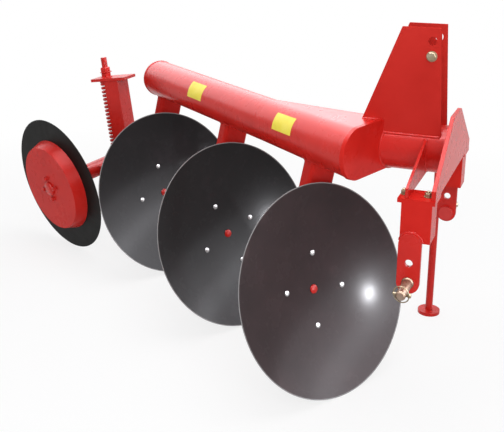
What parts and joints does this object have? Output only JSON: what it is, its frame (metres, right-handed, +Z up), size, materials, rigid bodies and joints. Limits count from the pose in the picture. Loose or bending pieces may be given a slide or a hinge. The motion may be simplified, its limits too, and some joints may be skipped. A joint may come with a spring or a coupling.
{
  "type": "disc plough",
  "caption": "Mounted disc plough: a pipe beam on a three-point hitch carries tilted dished discs on bearing hubs, with a rear furrow wheel on a sprung post and a parking stand.",
  "frame": {"origin": "middle of the machine's box, on the floor it stands on", "axes": "+X straight ahead as it is pulled, +Y to the left, +Z up"},
  "size_m": [2.0041, 1.2294, 1.1083],
  "materials": {
    "red_paint": "gloss red paint",
    "disc_lacquer": "gloss black lacquer",
    "wheel_black": "satin black paint",
    "zinc_yellow": "yellow zinc plate"
  },
  "bodies": {
    "frame": {"beam_pipe": "red_paint", "beam_end_cap": "red_paint", "beam_flare": "red_paint", "joint_plate": "red_paint", "front_tube": "red_paint", "mast_spacer_bolt": "zinc_yellow", "a_plate_front": "red_paint", "a_plate_rear": "red_paint", "stand_bracket": "red_paint", "stand_sleeve": "red_paint", "stub_axle": "red_paint", "wheel_crank": "red_paint", "post_channel": "red_paint", "post_top_plate": "red_paint", "post_foot_plate": "red_paint", "spring_rod": "red_paint", "spring": "red_paint", "mast_plate_right": "red_paint", "hitch_flange_right": "red_paint", "hitch_box_right": "red_paint", "hitch_plate_right": "red_paint", "lower_pin_right": "zinc_yellow", "mast_plate_left": "red_paint", "hitch_flange_left": "red_paint", "hitch_box_left": "red_paint", "hitch_plate_left": "red_paint", "lower_pin_left": "zinc_yellow", "leg_front": "red_paint", "hub_housing_front": "red_paint", "leg_middle": "red_paint", "hub_housing_middle": "red_paint", "leg_rear": "red_paint", "hub_housing_rear": "red_paint", "wheel_arm": "red_paint"},
    "disc_front": {"disc_blade_front": "disc_lacquer", "disc_hub_front": "red_paint"},
    "disc_middle": {"disc_blade_middle": "disc_lacquer", "disc_hub_middle": "red_paint"},
    "disc_rear": {"disc_blade_rear": "disc_lacquer", "disc_hub_rear": "red_paint"},
    "furrow_wheel": {"wheel_rim": "wheel_black", "wheel_drum": "red_paint", "wheel_hub": "red_paint"},
    "stand": {"stand_leg": "red_paint", "stand_foot": "red_paint"}
  },
  "joints": [
    {"name": "disc_front_spin", "type": "hinge", "parent": "frame", "child": "disc_front", "pos_m": [0.67305, -0.32192, 0.31447], "axis": [0.8318, -0.4611, 0.309], "continuous": true},
    {"name": "disc_middle_spin", "type": "hinge", "parent": "frame", "child": "disc_middle", "pos_m": [0.23543, -0.00046, 0.31447], "axis": [0.8318, -0.4611, 0.309], "continuous": true},
    {"name": "disc_rear_spin", "type": "hinge", "parent": "frame", "child": "disc_rear", "pos_m": [-0.20219, 0.321, 0.31447], "axis": [0.8318, -0.4611, 0.309], "continuous": true},
    {"name": "furrow_wheel_spin", "type": "hinge", "parent": "frame", "child": "furrow_wheel", "pos_m": [-0.72895, 0.27708, 0.29145], "axis": [-0.3781, -0.9128, -0.1547], "continuous": true},
    {"name": "stand_slide", "type": "slide", "parent": "frame", "child": "stand", "axis": [0, 0, 1], "range_m": [0, 0.3]}
  ]
}
